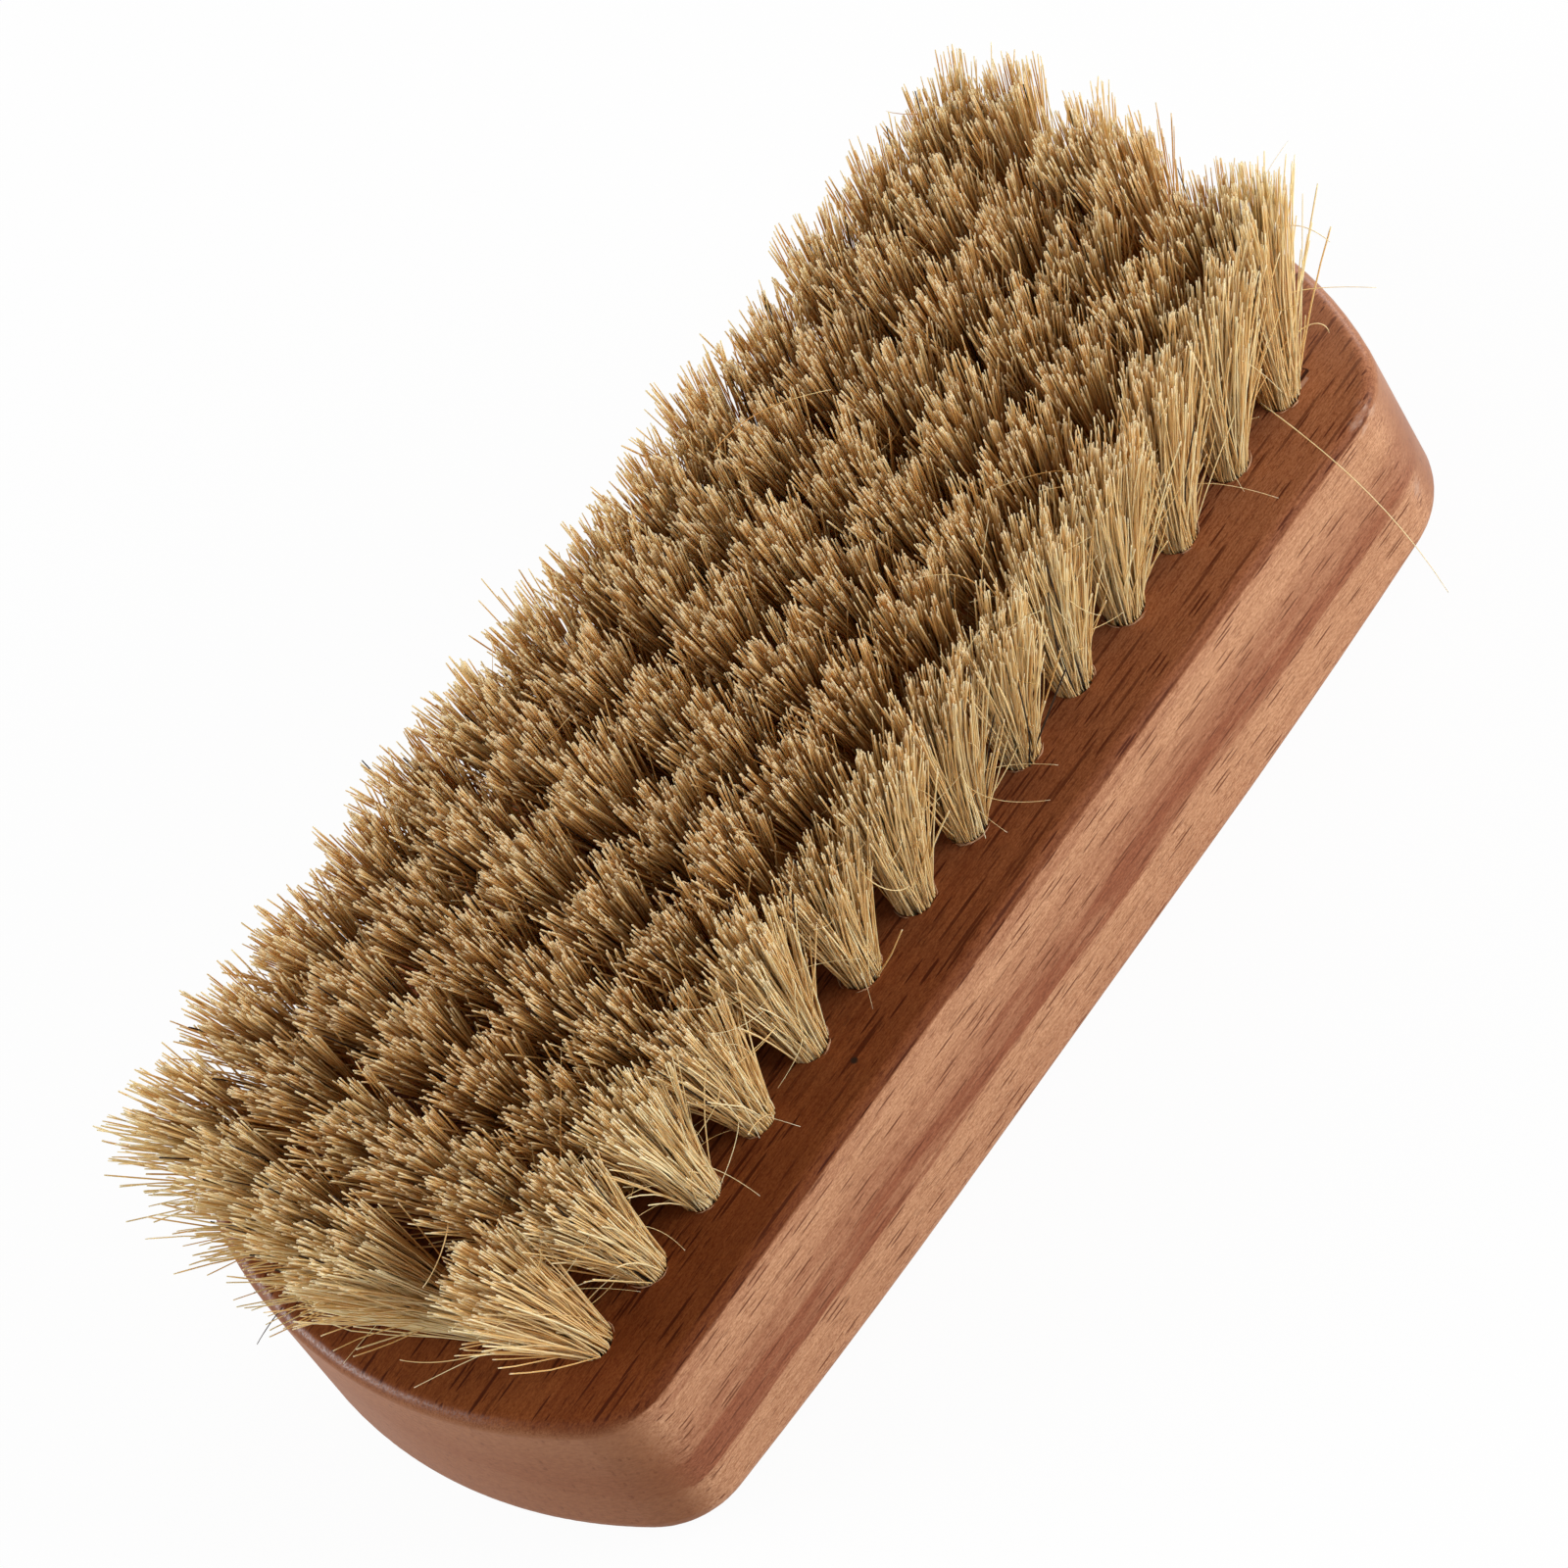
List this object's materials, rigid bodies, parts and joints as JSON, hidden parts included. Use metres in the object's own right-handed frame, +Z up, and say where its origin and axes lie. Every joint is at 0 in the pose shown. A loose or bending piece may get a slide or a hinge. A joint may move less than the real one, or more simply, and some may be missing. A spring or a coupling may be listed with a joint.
{
  "type": "shoe shine brush",
  "caption": "Wooden hand brush for shining shoes: a rounded beech block with bowed ends, drilled face and rows of pale natural bristle tufts trimmed level.",
  "frame": {"origin": "on the resting plane under the middle of the block, with the back down and the bristles up", "axes": "+X along the block, +Y across it, +Z up out of the bristle face"},
  "size_m": [0.15, 0.059, 0.0511],
  "materials": {
    "block_wood": "satin clear lacquer over reddish beech",
    "bristle": "natural straw-coloured bristle, pale split tips",
    "anchor_wire": "plain drawn flat wire"
  },
  "bodies": {
    "root": {"brush_block": "block_wood", "tuft_column_01": "bristle", "tuft_column_02": "bristle", "tuft_column_03": "bristle", "tuft_column_04": "bristle", "tuft_column_05": "bristle", "tuft_column_06": "bristle", "tuft_column_07": "bristle", "tuft_column_08": "bristle", "tuft_column_09": "bristle", "tuft_column_10": "bristle", "tuft_column_11": "bristle", "tuft_column_12": "bristle", "tuft_column_13": "bristle", "tuft_column_14": "bristle", "tuft_anchors": "anchor_wire"}
  },
  "joints": []
}
